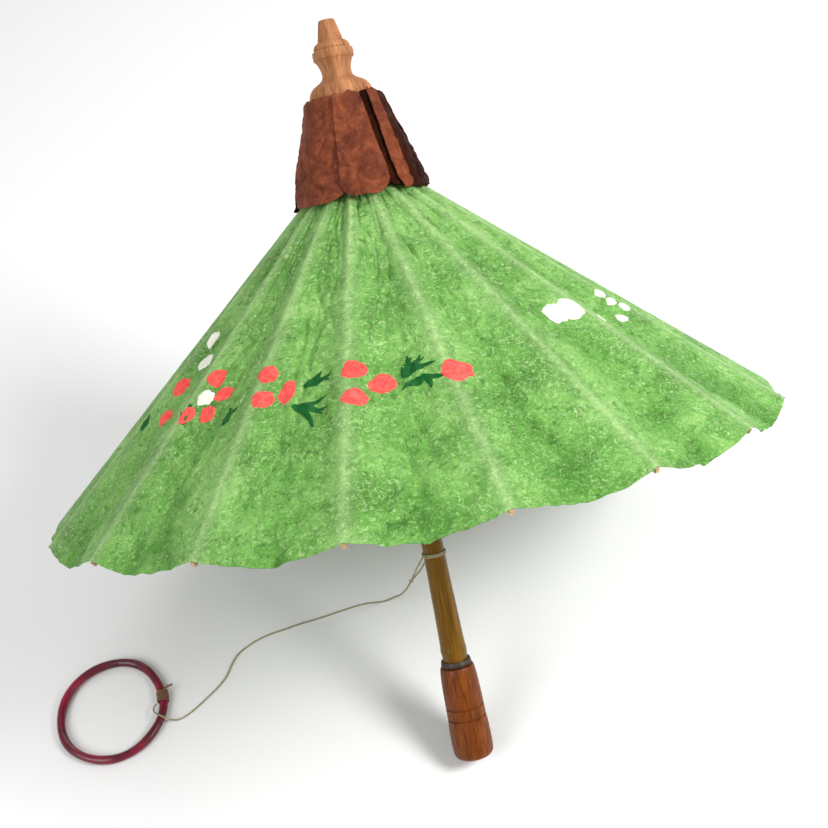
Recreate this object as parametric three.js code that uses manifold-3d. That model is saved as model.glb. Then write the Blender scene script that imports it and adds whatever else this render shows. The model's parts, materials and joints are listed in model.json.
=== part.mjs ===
// An oil paper parasol on its side: it rests on the end of its handle and on the tips of two ribs.
// Everything on the shaft is drawn with the shaft upright along Z and the end of the handle at height 0,
// then the whole group is leaned over. The ring and its cord lie on the floor. Units are millimetres.
import * as THREE from "three";
import { mergeVertices } from "three/addons/utils/BufferGeometryUtils.js";
import Module from "manifold-3d";

const wasm = await Module();
wasm.setup();

const GAP = 0.3;
const RIBS = 18;
const PITCH = (2 * Math.PI) / RIBS;
const OPEN = THREE.MathUtils.degToRad(49.5); // between a rib and the shaft, as it rests

// Rim of the paper.
const RIM_RADIUS = 240;
const RIM_HEIGHT = 220;

// Ribs and stretchers. Each rib has a straight line from its hinge through the stretcher's pivot, and its
// bar runs outside that line, so that the stretcher can fold up beside it.
const HINGE_RADIUS = 14;
const LINE_TO_PAPER = 7.9;
const HINGE_HEIGHT =
  RIM_HEIGHT -
  LINE_TO_PAPER * Math.sin(OPEN) +
  (RIM_RADIUS - LINE_TO_PAPER * Math.cos(OPEN) - HINGE_RADIUS) / Math.tan(OPEN);
const RIM_ALONG_RIB =
  (RIM_RADIUS - LINE_TO_PAPER * Math.cos(OPEN) - HINGE_RADIUS) / Math.sin(OPEN);
const RIB_LENGTH = RIM_ALONG_RIB + 4;
const RIB_WIDTH = 2.4;
const RIB_UNDER = 2.6;
const RIB_TOP = 7.4;
const EYE_RADIUS = 2.5;
const EYE_HOLE = 1.0;
const PIVOT = 112; // hinge to stretcher pivot, and also the length of the stretcher
const LUG_WIDTH = 1.2;
const PIN_RADIUS = 0.5;
const RUNNER_HEIGHT = HINGE_HEIGHT - 2 * PIVOT * Math.cos(OPEN);
const THREAD_RADIUS = 0.6;
const SLOT_WIDTH = RIB_WIDTH + 2 * GAP;
const SLOT_BOTTOM = HINGE_RADIUS - EYE_RADIUS - GAP;

// Shaft and handle.
const HANDLE_TOP = 66;
const HANDLE_EDGE = 4.5; // radius of the rounding at the end of the handle
const HANDLE_EDGE_CENTRE = 9.3;
const TIE_HEIGHT = 146;
const HEAD_TOP = 454;

// Ring and cord, on the floor. X and Y count from the point under the end of the handle's axis.
const RING_CENTRE = [-257.6, 92.8];
const RING_RADIUS = 39;
const RING_TUBE = 3.3;
const LASHING_ANGLE = THREE.MathUtils.degToRad(4);
const CORD_RADIUS = 0.6;

function solidOf(geometry) {
  const bare = new THREE.BufferGeometry().setAttribute(
    "position",
    (geometry.index ? geometry.toNonIndexed() : geometry).getAttribute("position"),
  );
  const merged = mergeVertices(bare, 1e-4);
  return new wasm.Manifold(
    new wasm.Mesh({
      numProp: 3,
      vertProperties: merged.attributes.position.array,
      triVerts: new Uint32Array(merged.index.array),
    }),
  );
}

function geometryOf(solid) {
  const mesh = solid.getMesh();
  const geometry = new THREE.BufferGeometry();
  geometry.setAttribute("position", new THREE.BufferAttribute(mesh.vertProperties, 3));
  geometry.setIndex(new THREE.BufferAttribute(mesh.triVerts, 1));
  const flat = geometry.toNonIndexed();
  flat.computeVertexNormals();
  return flat;
}

function material(colour, roughness = 0.6) {
  return new THREE.MeshStandardMaterial({ color: colour, roughness });
}

function meshOf(name, geometry, colour, roughness) {
  const mesh = new THREE.Mesh(geometry, material(colour, roughness));
  mesh.name = name;
  return mesh;
}

// A turned solid about Z, from [radius, height] pairs that go up the outside.
function turned(profile, segments = 24) {
  const lathe = new THREE.LatheGeometry(
    profile.map(([radius, height]) => new THREE.Vector2(radius, height)),
    segments,
  );
  return lathe.rotateX(Math.PI / 2);
}

function closedProfile(points) {
  return [...points, points[0]];
}

// A flat shape in the rib's plane, extruded evenly about that plane and set upright along the rib at
// azimuth 0: the shape's x is the distance from the shaft's axis and its y is the height.
function plateSolid(shape, width, offset = 0) {
  const plate = new THREE.ExtrudeGeometry(shape, {
    depth: width,
    bevelEnabled: false,
    curveSegments: 5,
  });
  plate.translate(0, 0, offset - width / 2);
  return solidOf(plate.rotateX(Math.PI / 2));
}

// A grid of points, closed into one sheet with an outer and an inner face.
function sheetGeometry(outer, inner, across, along, closedAcross) {
  const columns = closedAcross ? across : across + 1;
  const points = [];
  for (const face of [outer, inner])
    for (let j = 0; j <= along; j++)
      for (let i = 0; i < columns; i++) points.push(face(i / across, j / along));
  const at = (side, i, j) => side * columns * (along + 1) + j * columns + (i % columns);
  const faces = [];
  const quad = (a, b, c, d) => faces.push(a, b, c, a, c, d);
  for (let j = 0; j < along; j++)
    for (let i = 0; i < across; i++) {
      quad(at(0, i, j), at(0, i, j + 1), at(0, i + 1, j + 1), at(0, i + 1, j));
      quad(at(1, i, j), at(1, i + 1, j), at(1, i + 1, j + 1), at(1, i, j + 1));
    }
  for (let i = 0; i < across; i++) {
    quad(at(0, i, 0), at(0, i + 1, 0), at(1, i + 1, 0), at(1, i, 0));
    quad(at(0, i, along), at(1, i, along), at(1, i + 1, along), at(0, i + 1, along));
  }
  if (!closedAcross)
    for (let j = 0; j < along; j++) {
      quad(at(0, 0, j), at(1, 0, j), at(1, 0, j + 1), at(0, 0, j + 1));
      quad(at(0, across, j), at(0, across, j + 1), at(1, across, j + 1), at(1, across, j));
    }
  const geometry = new THREE.BufferGeometry();
  geometry.setAttribute("position", new THREE.Float32BufferAttribute(points.flat(), 3));
  geometry.setIndex(faces);
  const flat = geometry.toNonIndexed();
  flat.computeVertexNormals();
  return flat;
}

function cylindrical(radius, angle, height) {
  return [radius * Math.cos(angle), radius * Math.sin(angle), height];
}

const tuple = ([x, y, z]) => new THREE.Vector3(x, y, z);

// A round cord along a smooth curve through the points.
function cordGeometry(points, radius, steps, sides) {
  const curve = new THREE.CatmullRomCurve3(points.map(tuple), false, "centripetal");
  const section = new THREE.Shape();
  for (let k = 0; k < sides; k++) {
    const turn = (2 * Math.PI * k) / sides;
    if (k === 0) section.moveTo(radius, 0);
    else section.lineTo(radius * Math.cos(turn), radius * Math.sin(turn));
  }
  section.closePath();
  return new THREE.ExtrudeGeometry(section, { steps, extrudePath: curve, bevelEnabled: false });
}

// ---------------------------------------------------------------- shaft, handle, collar and finial

const SHAFT_PROFILE = [
  [0, 30],
  [7, 30],
  [7, HANDLE_TOP + GAP],
  [8.7, HANDLE_TOP + GAP],
  [8.6, 72],
  [8.8, 75],
  [9.2, 78],
  [8.6, 80],
  [8.3, 92],
  [7.9, 115],
  [7.4, 140],
  [7.2, 200],
  [7.1, 316],
  [7.45, 318],
  [7.1, 320],
  [7.0, 448],
  [0, 448],
];

function shaftRadius(height) {
  const above = SHAFT_PROFILE.findIndex(([, h], i) => i > 2 && h >= height);
  const [r1, h1] = SHAFT_PROFILE[above];
  const [r0, h0] = SHAFT_PROFILE[above - 1];
  return r0 + ((r1 - r0) * (height - h0)) / (h1 - h0);
}

function roundedEdge(centre, height, radius, from, to, steps) {
  return Array.from({ length: steps + 1 }, (_, k) => {
    const turn = from + ((to - from) * k) / steps;
    return [centre + radius * Math.cos(turn), height + radius * Math.sin(turn)];
  });
}

function handleGeometry() {
  const groove = (height) => [
    [13.3, height - 0.9],
    [12.6, height],
    [13.3, height + 0.9],
  ];
  return turned(
    [
      [0, 0],
      ...roundedEdge(HANDLE_EDGE_CENTRE, HANDLE_EDGE, HANDLE_EDGE, -Math.PI / 2, 0, 5),
      [14.2, 9],
      [13.9, 20],
      ...groove(29.4),
      ...groove(37.4),
      [12.9, 52],
      [12.2, 63],
      [11.4, HANDLE_TOP],
      [7 + GAP, HANDLE_TOP],
      [7 + GAP, 30 - GAP],
      [0, 30 - GAP],
    ],
    28,
  );
}

function collarGeometry() {
  return turned(
    closedProfile([
      [9.1, HANDLE_TOP + 0.7],
      [10.3, HANDLE_TOP + 0.7],
      [10.6, HANDLE_TOP + 2.4],
      [10.1, HANDLE_TOP + 4.6],
      [9.1, HANDLE_TOP + 4.6],
    ]),
  );
}

function finialGeometry() {
  return turned([
    [0, HEAD_TOP - 5],
    [6.6, HEAD_TOP - 5],
    [6.6, HEAD_TOP + GAP],
    [20.5, HEAD_TOP + GAP],
    [20.8, 457],
    [19.6, 460.5],
    [17, 463.5],
    [13, 465.5],
    [10.2, 468],
    [9.6, 471],
    [10.2, 475],
    [11.6, 478],
    [12.7, 481],
    [12.9, 483.5],
    [12.2, 486],
    [10.6, 488],
    [8.8, 489.5],
    [7.9, 492],
    [5.6, 504],
    [5.1, 504.7],
    [0, 504.7],
  ]);
}

// ---------------------------------------------------------------- head, runner and their threads

function threadSolid(height, radius) {
  const torus = new THREE.TorusGeometry(HINGE_RADIUS, radius, 5, 36);
  return solidOf(torus.translate(0, 0, height));
}

// Cuts a slot for each rib or stretcher, and the round tunnel that its thread runs in.
function slotted(solid, from, to, pivotHeight) {
  const slot = solidOf(
    new THREE.BoxGeometry(24, SLOT_WIDTH, to - from).translate(
      SLOT_BOTTOM + 12,
      0,
      (from + to) / 2,
    ),
  );
  let cut = solid;
  for (let i = 0; i < RIBS; i++) {
    const turn = THREE.MathUtils.radToDeg(ribAzimuth(i));
    cut = cut.subtract(slot.rotate([0, 0, turn]));
  }
  return cut.subtract(threadSolid(pivotHeight, THREAD_RADIUS + 0.3));
}

function ribAzimuth(index) {
  return Math.PI / 2 + PITCH * (index + 0.5);
}

function headSolid() {
  const bore = 7.0 + GAP;
  const body = solidOf(
    turned(
      closedProfile([
        [bore, HINGE_HEIGHT - 9],
        [16.5, HINGE_HEIGHT - 9],
        [18, HINGE_HEIGHT - 7],
        [18, HINGE_HEIGHT + 11],
        [23.4, HINGE_HEIGHT + 24],
        [23.6, HEAD_TOP],
        [bore, HEAD_TOP],
      ]),
      24,
    ),
  );
  return slotted(body, HINGE_HEIGHT - 12, HINGE_HEIGHT + 6, HINGE_HEIGHT);
}

function runnerSolid() {
  const bore = 7.45 + 2 * GAP;
  const body = solidOf(
    turned(
      closedProfile([
        [bore, RUNNER_HEIGHT - 15],
        [13.5, RUNNER_HEIGHT - 15],
        [14.2, RUNNER_HEIGHT - 13],
        [13, RUNNER_HEIGHT - 10],
        [17, RUNNER_HEIGHT - 6],
        [17.6, RUNNER_HEIGHT + 4.5],
        [16.6, RUNNER_HEIGHT + 6],
        [bore, RUNNER_HEIGHT + 6],
      ]),
      24,
    ),
  );
  return slotted(body, RUNNER_HEIGHT - 5.5, RUNNER_HEIGHT + 10, RUNNER_HEIGHT);
}

// ---------------------------------------------------------------- ribs and stretchers

// Turns a shape drawn along the rib's line, hinge at the origin, to the rib's slope.
function alongRib(points) {
  return points.map(
    ([x, y]) =>
      new THREE.Vector2(
        HINGE_RADIUS + x * Math.sin(OPEN) + y * Math.cos(OPEN),
        HINGE_HEIGHT - x * Math.cos(OPEN) + y * Math.sin(OPEN),
      ),
  );
}

function arc(cx, cy, radius, from, to, steps) {
  return Array.from({ length: steps + 1 }, (_, k) => {
    const turn = THREE.MathUtils.degToRad(from + ((to - from) * k) / steps);
    return [cx + radius * Math.cos(turn), cy + radius * Math.sin(turn)];
  });
}

function holePath(points) {
  return new THREE.Path(points);
}

function ribSolid() {
  const bar = new THREE.Shape(
    alongRib([
      ...arc(0, 0, EYE_RADIUS, 120, 320, 4),
      [5, 0.6],
      [9, RIB_UNDER],
      [PIVOT + 14, RIB_UNDER],
      [RIB_LENGTH, RIB_TOP - 3],
      [RIB_LENGTH, RIB_TOP],
      [9, RIB_TOP],
      [4, 5.4],
    ]),
  );
  bar.holes.push(holePath(alongRib(arc(0, 0, EYE_HOLE, 0, -300, 5))));
  const lug = new THREE.Shape(
    alongRib([
      [PIVOT - 4, RIB_UNDER + 0.5],
      [PIVOT - 2, -0.6],
      ...arc(PIVOT, 0, 1.9, 200, 340, 3),
      [PIVOT + 2, -0.6],
      [PIVOT + 4, RIB_UNDER + 0.5],
    ]),
  );
  lug.holes.push(holePath(alongRib(arc(PIVOT, 0, PIN_RADIUS + GAP, 0, -300, 5))));
  return plateSolid(bar, RIB_WIDTH).add(plateSolid(lug, LUG_WIDTH));
}

// The stretcher's line runs from its outer pivot on the rib to its inner one on the runner.
function alongStretcher(points) {
  const outerRadius = HINGE_RADIUS + PIVOT * Math.sin(OPEN);
  const outerHeight = HINGE_HEIGHT - PIVOT * Math.cos(OPEN);
  return points.map(
    ([x, y]) =>
      new THREE.Vector2(
        outerRadius - x * Math.sin(OPEN) - y * Math.cos(OPEN),
        outerHeight - x * Math.cos(OPEN) + y * Math.sin(OPEN),
      ),
  );
}

function stretcherSolid() {
  const bar = new THREE.Shape(
    alongStretcher([
      [7, -1.6],
      [PIVOT - 6, -1.9],
      ...arc(PIVOT, 0, EYE_RADIUS, -110, 110, 4),
      [PIVOT - 6, 1.9],
      [7, 1.6],
    ]).reverse(),
  );
  bar.holes.push(holePath(alongStretcher(arc(PIVOT, 0, EYE_HOLE, 0, -300, 5))));
  const tine = new THREE.Shape(
    alongStretcher([...arc(0, 0, 1.9, 90, 270, 3), [12, -1.7], [12, 1.7]]).reverse(),
  );
  const tineWidth = 0.9;
  const tineOffset = LUG_WIDTH / 2 + GAP + tineWidth / 2;
  const bridge = new THREE.Shape(
    alongStretcher([
      [6, -1.7],
      [12, -1.7],
      [12, 1.7],
      [6, 1.7],
    ]).reverse(),
  );
  const pin = new THREE.Shape(alongStretcher(arc(0, 0, PIN_RADIUS, 0, 300, 5)).reverse());
  const pinWidth = 2 * (LUG_WIDTH / 2 + GAP) + 0.4;
  return plateSolid(bar, RIB_WIDTH)
    .add(plateSolid(tine, tineWidth, tineOffset))
    .add(plateSolid(tine, tineWidth, -tineOffset))
    .add(plateSolid(bridge, 2 * tineOffset + tineWidth))
    .add(plateSolid(pin, pinWidth));
}

// ---------------------------------------------------------------- paper canopy and cap

// The paper's inner face, from near the head (along 0) to the rim (along 1). It lies on the ribs and
// sinks a little between them.
function paperPoint(across, along, outwards) {
  const angle = ribAzimuth(0) + 2 * Math.PI * across;
  const fromRib = Math.abs(((across * RIBS + 0.5) % 1) - 0.5) * 2;
  const distance = 10 + (RIM_ALONG_RIB - 10) * along;
  const sink = (0.4 + 6.2 * along) * Math.sin((fromRib * Math.PI) / 2) ** 2;
  const y = LINE_TO_PAPER + outwards - sink;
  const radius = HINGE_RADIUS + distance * Math.sin(OPEN) + y * Math.cos(OPEN);
  const height = HINGE_HEIGHT - distance * Math.cos(OPEN) + y * Math.sin(OPEN);
  return cylindrical(radius, angle, height);
}

function canopyGeometry() {
  const thickness = 0.45;
  return sheetGeometry(
    (u, v) => paperPoint(u, v, thickness),
    (u, v) => paperPoint(u, v, 0),
    4 * RIBS,
    1,
    true,
  );
}

// Each flap's middle and half width in degrees, round from the side that faces up, and whether it lies
// over its two neighbours.
const FLAPS = [
  { middle: -42, half: 32, over: true },
  { middle: 9, half: 20, over: false },
  { middle: 46, half: 9, over: true },
  { middle: 72, half: 24, over: false },
  { middle: 115, half: 27, over: true },
  { middle: 160, half: 27, over: false },
  { middle: 205, half: 27, over: true },
  { middle: 251, half: 36, over: false },
];
const CAP_SLOPE = Math.tan(THREE.MathUtils.degToRad(17.6));
const FLAP_LENGTH = 66;
const FLAP_THICKNESS = 0.8;

function flapGeometry({ middle, half, over }) {
  const centre = THREE.MathUtils.degToRad(middle - 90);
  const reach = THREE.MathUtils.degToRad(half);
  const lift = over ? 1.4 : 0;
  const face = (outwards) => (u, v) => {
    const side = 2 * u - 1;
    const length = FLAP_LENGTH - 7 * side ** 4;
    const height = HEAD_TOP + 1 - length * v;
    const radius = 23.6 + GAP + lift + (HEAD_TOP + 1 - height) * CAP_SLOPE + outwards;
    return cylindrical(radius, centre + side * reach * (0.9 + 0.1 * v), height);
  };
  return sheetGeometry(face(FLAP_THICKNESS), face(0), 8, 3, false);
}

// ---------------------------------------------------------------- catch, cord and ring

// A bent leaf spring let into the shaft under the runner, which holds the runner up.
function catchSolid() {
  const top = RUNNER_HEIGHT - 15 - GAP;
  const leaf = new THREE.Shape([
    new THREE.Vector2(3.5, top - 34),
    new THREE.Vector2(7.6, top - 30),
    new THREE.Vector2(11.2, top),
    new THREE.Vector2(7.9, top),
    new THREE.Vector2(7.9, top - 8),
    new THREE.Vector2(6.9, top - 27),
    new THREE.Vector2(3.5, top - 31),
  ]);
  return plateSolid(leaf, 2.2);
}

function catchPocket() {
  const top = RUNNER_HEIGHT - 15;
  const box = new THREE.BoxGeometry(8, 2.8, 37);
  return solidOf(box.translate(3.2 + 4, 0, top - 37 / 2 + 1));
}

// The cord is tied round the shaft, and two strands of it hang to a knot.
const KNOT = [-19.7, 25.4, 123.8];
const KNOT_RADIUS = 1.5;

function tieSolid() {
  const radius = shaftRadius(TIE_HEIGHT) + GAP + CORD_RADIUS;
  const wrap = (height) =>
    solidOf(new THREE.TorusGeometry(radius, CORD_RADIUS, 5, 20).translate(0, 0, height));
  const strand = (angle, bow) => {
    const start = cylindrical(radius, THREE.MathUtils.degToRad(angle), TIE_HEIGHT);
    const middle = KNOT.map((value, k) => (value + start[k]) / 2 + bow[k]);
    return solidOf(cordGeometry([start, middle, KNOT], CORD_RADIUS, 8, 6));
  };
  const knot = solidOf(new THREE.SphereGeometry(KNOT_RADIUS, 8, 6)).translate(KNOT);
  return wrap(TIE_HEIGHT)
    .add(wrap(TIE_HEIGHT + 1))
    .add(strand(112, [1, 0.4, -1]))
    .add(strand(146, [-1, 1, -1]))
    .add(knot);
}

// The ring is bent cane, so it isn't quite round: its radius and thickness vary round it, and it is
// flatter by the lashing.
const RING_FLAT_ANGLE = 0.35;
const RING_FLAT_DEPTH = 1;
const RING_UNEVENNESS = 0.25;
const CANE_UNEVENNESS = 0.045;

function ringRadius(angle) {
  const facing = Math.max(0, Math.cos(angle - RING_FLAT_ANGLE));
  return RING_RADIUS - RING_FLAT_DEPTH * facing ** 12 + RING_UNEVENNESS * Math.sin(5 * angle + 2);
}

const RING_SIDE = [
  RING_CENTRE[0] + ringRadius(LASHING_ANGLE) * Math.cos(LASHING_ANGLE),
  RING_CENTRE[1] + ringRadius(LASHING_ANGLE) * Math.sin(LASHING_ANGLE),
];

function ringGeometry() {
  const torus = new THREE.TorusGeometry(RING_RADIUS, RING_TUBE, 14, 84);
  const position = torus.getAttribute("position");
  for (let i = 0; i < position.count; i++) {
    const angle = Math.atan2(position.getY(i), position.getX(i));
    const outwards = Math.hypot(position.getX(i), position.getY(i)) - RING_RADIUS;
    const thickness = 1 - CANE_UNEVENNESS * (1 - Math.sin(7 * angle + 1));
    const radius = ringRadius(angle) + outwards * thickness;
    position.setXYZ(i, Math.cos(angle) * radius, Math.sin(angle) * radius, position.getZ(i) * thickness);
  }
  return torus.translate(RING_CENTRE[0], RING_CENTRE[1], RING_TUBE + 0.05);
}

// A few turns of the cord round the ring, with the floor's side left open.
function lashingSolid() {
  const sleeve = solidOf(
    turned(
      closedProfile([
        [RING_TUBE + 0.45, -3.5],
        [RING_TUBE + 1.25, -3.5],
        [RING_TUBE + 1.25, 3.5],
        [RING_TUBE + 0.45, 3.5],
      ]),
      16,
    ),
  );
  const lying = sleeve
    .rotate([90, 0, THREE.MathUtils.radToDeg(LASHING_ANGLE)])
    .translate([RING_SIDE[0], RING_SIDE[1], RING_TUBE + 0.05]);
  return lying.trimByPlane([0, 0, 1], 0.1);
}

// From the knot down to the floor, across the floor, over the ring and in to its lashing.
function cordRoute([kx, ky, kz]) {
  const onFloor = CORD_RADIUS + 0.1;
  return [
    [kx - 0.9, ky - 0.2, kz - 1.6],
    [-23.6, 103, 73],
    [-26.4, 105, 66],
    [-29.9, 107, 59],
    [-33.3, 112, 50],
    [-36, 121.3, 34],
    [-38.3, 130.5, 18],
    [-42, 137, 6],
    [-48.5, 140, onFloor],
    [-60, 141, onFloor],
    [-72, 140, onFloor],
    [-96, 136.5, onFloor],
    [-111.5, 135, onFloor],
    [-123.5, 133, onFloor],
    [-134, 131.5, onFloor],
    [-146.5, 128, onFloor],
    [-160, 120.5, onFloor],
    [-166.5, 112, onFloor],
    [-170.5, 104, onFloor],
    [-177, 96.5, onFloor],
    [-187.5, 88, onFloor],
    [-197, 81, onFloor],
    [-204.5, 77, onFloor],
    [-210.5, 75.5, 1.4],
    [-216.5, 76.5, 5],
    [-220.5, 78.5, 7.8],
    [-225, 82.5, 6.6],
    [-226, 87, 4.6],
    [-223.8, 90.5, 4],
  ];
}

// ---------------------------------------------------------------- leaning over and assembly

// The lean at which the rounded end of the handle and the inner corners of two rib tips are level.
function leanAngle() {
  const tipCorner = [RIB_LENGTH, RIB_TOP - 3];
  const [tip] = alongRib([tipCorner]);
  const across = RIB_WIDTH / 2;
  const towardFloor = tip.x * Math.cos(PITCH / 2) + across * Math.sin(PITCH / 2);
  const run = tip.y - HANDLE_EDGE;
  const drop = towardFloor - HANDLE_EDGE_CENTRE;
  return Math.atan2(drop, run) - Math.asin(HANDLE_EDGE / Math.hypot(run, drop));
}

const lean = leanAngle();
const parasol = new THREE.Group();
parasol.rotation.x = -(Math.PI / 2 - lean);
const handleLift =
  HANDLE_EDGE_CENTRE * Math.cos(lean) + HANDLE_EDGE - HANDLE_EDGE * Math.sin(lean);
parasol.position.z = handleLift;

const WOOD = 0xc98f5e;
const BAMBOO = 0x9a8350;

const shaftSolid = solidOf(turned(SHAFT_PROFILE)).subtract(catchPocket());
parasol.add(
  meshOf("shaft", geometryOf(shaftSolid), BAMBOO, 0.35),
  meshOf("handle", handleGeometry(), 0xa05a35, 0.5),
  meshOf("collar", collarGeometry(), 0x3a2018, 0.6),
  meshOf("finial", finialGeometry(), WOOD, 0.5),
  meshOf("head", geometryOf(headSolid()), 0xb08a58, 0.7),
  meshOf("head_thread", geometryOf(threadSolid(HINGE_HEIGHT, THREAD_RADIUS)), 0xb8a070, 0.9),
  meshOf("runner", geometryOf(runnerSolid()), 0xb08a58, 0.7),
  meshOf("runner_thread", geometryOf(threadSolid(RUNNER_HEIGHT, THREAD_RADIUS)), 0xb8a070, 0.9),
  meshOf("catch_spring", geometryOf(catchSolid()), 0x8a8a86, 0.4),
  meshOf("canopy", canopyGeometry(), 0x5faa3c, 0.6),
);

const rib = ribSolid();
const stretcher = stretcherSolid();
for (let i = 0; i < RIBS; i++) {
  const turn = [0, 0, THREE.MathUtils.radToDeg(ribAzimuth(i))];
  const number = String(i + 1).padStart(2, "0");
  parasol.add(
    meshOf("rib_" + number, geometryOf(rib.rotate(turn)), 0xc8a468, 0.6),
    meshOf("stretcher_" + number, geometryOf(stretcher.rotate(turn)), 0xbf9a60, 0.6),
  );
}
FLAPS.forEach((flap, i) =>
  parasol.add(meshOf("cap_flap_" + (i + 1), flapGeometry(flap), 0x6b3020, 0.7)),
);
parasol.add(meshOf("cord_tie", geometryOf(tieSolid()), 0x9a9060, 0.9));

const root = new THREE.Group();
root.name = "oil_paper_parasol";
root.add(parasol);
parasol.updateMatrixWorld(true);

const knot = tuple(KNOT).applyMatrix4(parasol.matrixWorld).toArray();
const loose = new THREE.Group();
loose.add(
  meshOf("cord", cordGeometry(cordRoute(knot), CORD_RADIUS, 76, 8), 0x9a9060, 0.9),
  meshOf("ring", ringGeometry(), 0x7a1420, 0.3),
  meshOf("ring_lashing", geometryOf(lashingSolid()), 0x6e3a22, 0.9),
);
root.add(loose);

// The origin is on the floor under the middle of the parasol, the ring and its cord left out.
const box = new THREE.Box3();
parasol.children
  .filter((mesh) => mesh.name !== "cord_tie")
  .forEach((mesh) => box.union(new THREE.Box3().setFromObject(mesh, true)));
const middle = box.getCenter(new THREE.Vector3());
parasol.position.x -= middle.x;
parasol.position.y -= middle.y;
loose.position.set(-middle.x, -middle.y, 0);

export default root;
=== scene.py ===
"""An open oil paper parasol, resting on its handle and two rib tips, with a ring on a loose cord."""
import json
import math

import bpy
from mathutils import Matrix, Vector, noise

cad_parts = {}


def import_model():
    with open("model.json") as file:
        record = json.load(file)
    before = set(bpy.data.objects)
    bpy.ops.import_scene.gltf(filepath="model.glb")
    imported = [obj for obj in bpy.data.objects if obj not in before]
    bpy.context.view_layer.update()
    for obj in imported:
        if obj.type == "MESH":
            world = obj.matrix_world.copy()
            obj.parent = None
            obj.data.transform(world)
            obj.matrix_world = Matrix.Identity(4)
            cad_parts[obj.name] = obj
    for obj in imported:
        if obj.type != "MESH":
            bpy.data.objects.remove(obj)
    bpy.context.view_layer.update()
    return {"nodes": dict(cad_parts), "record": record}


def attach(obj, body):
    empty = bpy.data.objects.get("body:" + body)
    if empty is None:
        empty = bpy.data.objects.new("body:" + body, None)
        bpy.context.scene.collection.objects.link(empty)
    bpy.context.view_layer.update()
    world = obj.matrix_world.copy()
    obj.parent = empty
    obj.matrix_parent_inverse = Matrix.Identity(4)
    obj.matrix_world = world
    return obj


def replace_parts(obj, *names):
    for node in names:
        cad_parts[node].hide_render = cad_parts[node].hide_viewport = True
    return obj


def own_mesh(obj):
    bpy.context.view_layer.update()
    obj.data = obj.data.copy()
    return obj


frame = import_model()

# The parasol's own frame is in millimetres, with Z up the shaft from the end of the handle and Y towards
# the floor. The row frame is in metres, with Z up from the floor. Both have the same X.
MM = 0.001
MOUNTS = {m["name"]: m for m in frame["record"]["mounts"]}
AXIS = Vector(MOUNTS["finial_tip"]["axis"]).normalized()
TIP_HEIGHT = 504.7
ORIGIN = Vector(MOUNTS["finial_tip"]["pos_m"]) - AXIS * TIP_HEIGHT * MM
ACROSS = Vector((1, 0, 0))
DOWN = AXIS.cross(ACROSS)

RIBS = 18
PITCH = 2 * math.pi / RIBS
# The angle between an open rib and the shaft, and the radius of the circle of hinges.
OPEN = math.radians(49.5)
HINGE_RADIUS = 14
# From the line through a rib's hinge, along the rib, up to the underside of the paper.
LINE_TO_PAPER = 7.9
RIM_RADIUS = 240
RIM_HEIGHT = 220
RIM_FROM_HINGE = RIM_RADIUS - LINE_TO_PAPER * math.cos(OPEN) - HINGE_RADIUS
HINGE_HEIGHT = RIM_HEIGHT - LINE_TO_PAPER * math.sin(OPEN) + RIM_FROM_HINGE / math.tan(OPEN)
RIM_ALONG_RIB = RIM_FROM_HINGE / math.sin(OPEN)
TIE_HEIGHT = 146
HEAD_TOP = 454


def world(x, y, z):
    """A point of the parasol's own frame, in the row frame in metres."""
    return ORIGIN + (ACROSS * x + DOWN * y + AXIS * z) * MM


def around(radius, angle, height):
    """The same, from the distance to the shaft's axis, the angle round it and the height along it."""
    return world(radius * math.cos(angle), radius * math.sin(angle), height)


# ------------------------------------------------------------------ camera and light

LENS_MM = 55.34
SENSOR_MM = 36
CAMERA_PLACE = (0.0023, -0.5351, 0.8458)
CAMERA_PITCH = math.radians(-50.87)
CAMERA_YAW = math.radians(0.33)
CAMERA_ROLL = math.radians(-11.18)
# The lamps point at the middle of the parasol.
LIT_POINT = Vector((0, 0, 0.15))
# Lamps: place and size in metres, and power in watts.
LAMPS = {
    "key": ((1.05, -0.40, 1.20), 0.5, 25),
    "fill": ((-1.1, -0.7, 1.1), 0.9, 11),
    "back": ((0.2, 1.2, 1.3), 1.0, 7),
}
SKY_STRENGTH = 0.45
FLOOR_SIZE = 60
FLOOR_COLOUR = (0.86, 0.86, 0.86)


def make_camera():
    camera = bpy.data.objects.new("camera", bpy.data.cameras.new("camera"))
    bpy.context.scene.collection.objects.link(camera)
    camera.data.lens = LENS_MM
    camera.data.sensor_width = SENSOR_MM
    camera.data.clip_start = 0.01
    camera.location = CAMERA_PLACE
    level = math.cos(CAMERA_PITCH)
    forward = Vector((math.sin(CAMERA_YAW) * level, math.cos(CAMERA_YAW) * level, math.sin(CAMERA_PITCH)))
    right = forward.cross(Vector((0, 0, 1))).normalized()
    up = right.cross(forward)
    turned_right = right * math.cos(CAMERA_ROLL) + up * math.sin(CAMERA_ROLL)
    turned_up = up * math.cos(CAMERA_ROLL) - right * math.sin(CAMERA_ROLL)
    turn = Matrix((turned_right, turned_up, -forward)).transposed()
    camera.rotation_euler = turn.to_euler()
    bpy.context.scene.camera = camera


def area_light(name, place, size, power):
    light = bpy.data.lights.new(name, "AREA")
    light.size = size
    light.energy = power
    lamp = bpy.data.objects.new(name, light)
    bpy.context.scene.collection.objects.link(lamp)
    lamp.location = place
    lamp.rotation_euler = (LIT_POINT - Vector(place)).to_track_quat("-Z", "Y").to_euler()


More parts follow.
